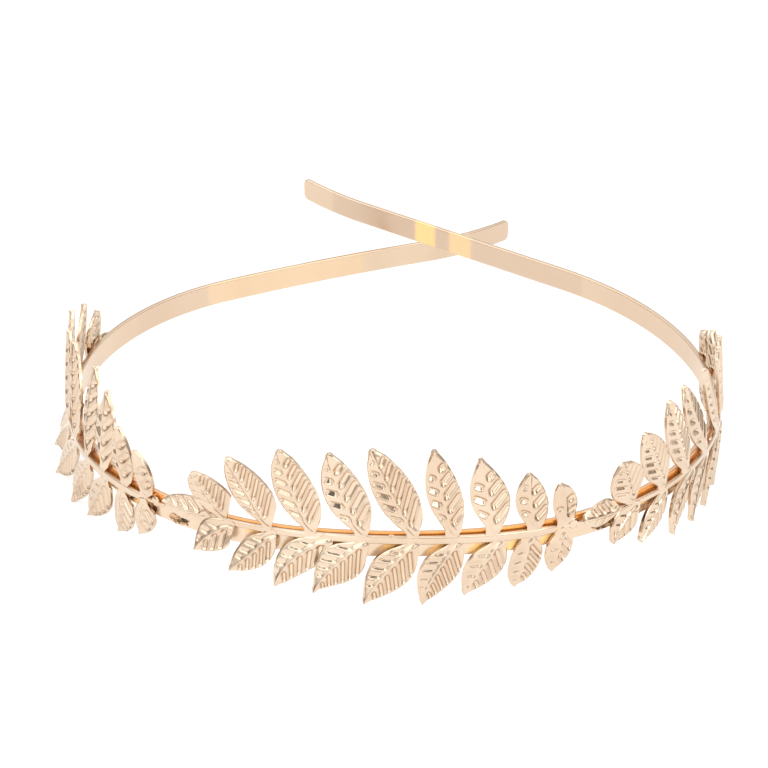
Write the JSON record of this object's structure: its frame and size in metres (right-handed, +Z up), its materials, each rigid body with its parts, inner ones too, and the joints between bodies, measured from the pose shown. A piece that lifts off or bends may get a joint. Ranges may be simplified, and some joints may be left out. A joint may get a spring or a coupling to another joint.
{
  "type": "leaf headband",
  "caption": "Open metal hoop headband whose flared ends cross at the back, with stamped sprays of paired veined leaves soldered round the front and sides.",
  "frame": {"origin": "centre of the bounding box's base, where the tips of the lower leaves stand", "axes": "+Z up through the hoop, +Y from the forehead to the crossing ends, +X to the right as seen from the front"},
  "size_m": [0.1014, 0.1134, 0.0241],
  "materials": {
    "band_metal": "satin pale rose gold plating",
    "leaf_metal": "bright pale rose gold plating on stamped sheet"
  },
  "bodies": {
    "root": {"band": "band_metal", "front_spray": "leaf_metal", "left_spray": "leaf_metal", "right_spray": "leaf_metal"}
  },
  "joints": []
}
